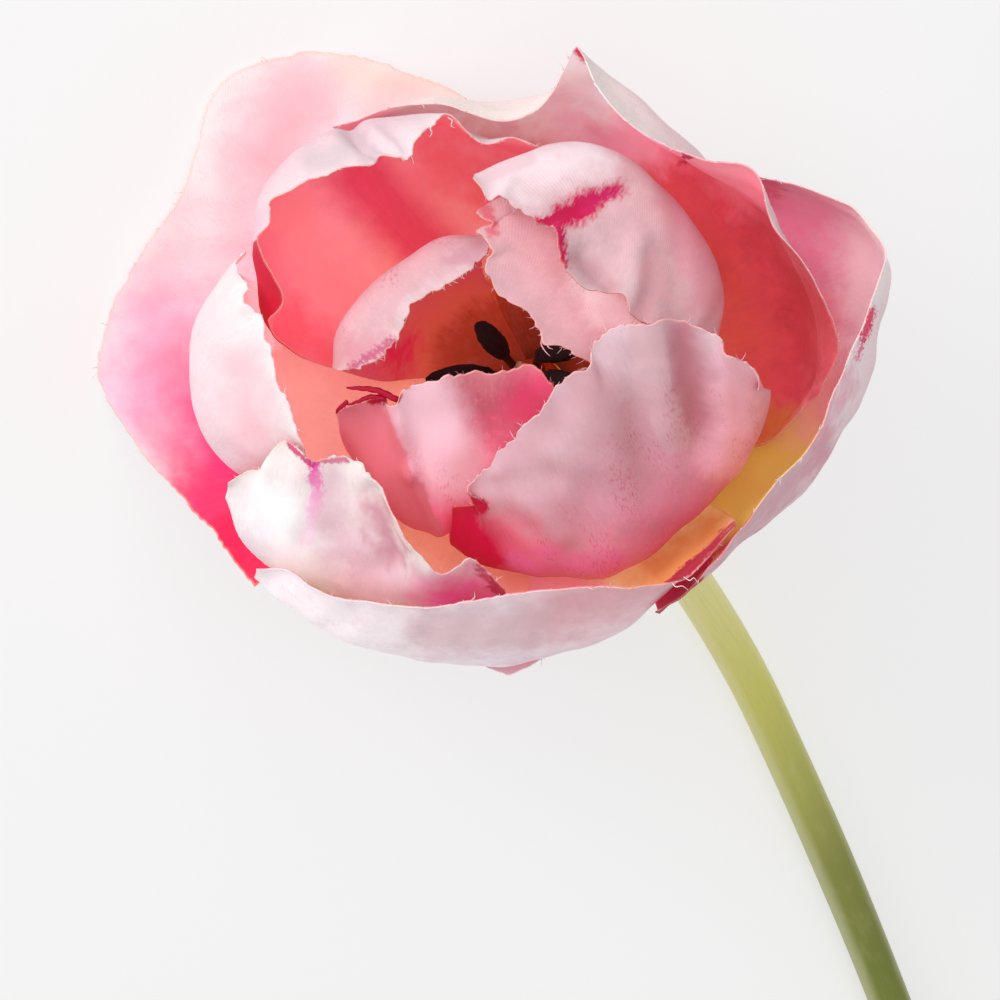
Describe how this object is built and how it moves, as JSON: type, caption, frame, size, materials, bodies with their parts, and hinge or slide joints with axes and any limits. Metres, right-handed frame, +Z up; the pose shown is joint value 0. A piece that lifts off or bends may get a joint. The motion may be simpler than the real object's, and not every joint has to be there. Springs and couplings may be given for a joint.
{
  "type": "cut tulip flower",
  "caption": "Cut double tulip laid on its side: an open bloom of overlapping petals with ragged rims, dark stamens and a long bent stem.",
  "frame": {"origin": "middle of the footprint of the lying flower, on the surface it lies on", "axes": "+Z up from the surface, +Y from the cut end of the stem towards the bloom"},
  "size_m": [0.0808, 0.3518, 0.0611],
  "materials": {
    "stem": "satin",
    "receptacle": "matte",
    "petal_outer": "matte",
    "petal_mid": "matte",
    "petal_inner": "matte",
    "stamen": "matte",
    "pistil": "matte"
  },
  "bodies": {
    "root": {"stem": "stem", "receptacle": "receptacle", "petal_outer_under": "petal_outer", "petal_outer_left": "petal_outer", "petal_outer_right": "petal_outer", "petal_outer_bottom": "petal_outer", "petal_outer_top": "petal_outer", "petal_mid_low": "petal_mid", "petal_mid_left": "petal_mid", "petal_mid_right": "petal_mid", "petal_mid_top": "petal_mid", "petal_inner_bottom": "petal_inner", "petal_inner_top": "petal_inner", "petal_inner_left": "petal_inner", "petal_inner_pale": "petal_inner", "stamen_1": "stamen", "stamen_2": "stamen", "stamen_3": "stamen", "stamen_4": "stamen", "stamen_5": "stamen", "stamen_6": "stamen", "pistil": "pistil"}
  },
  "joints": []
}
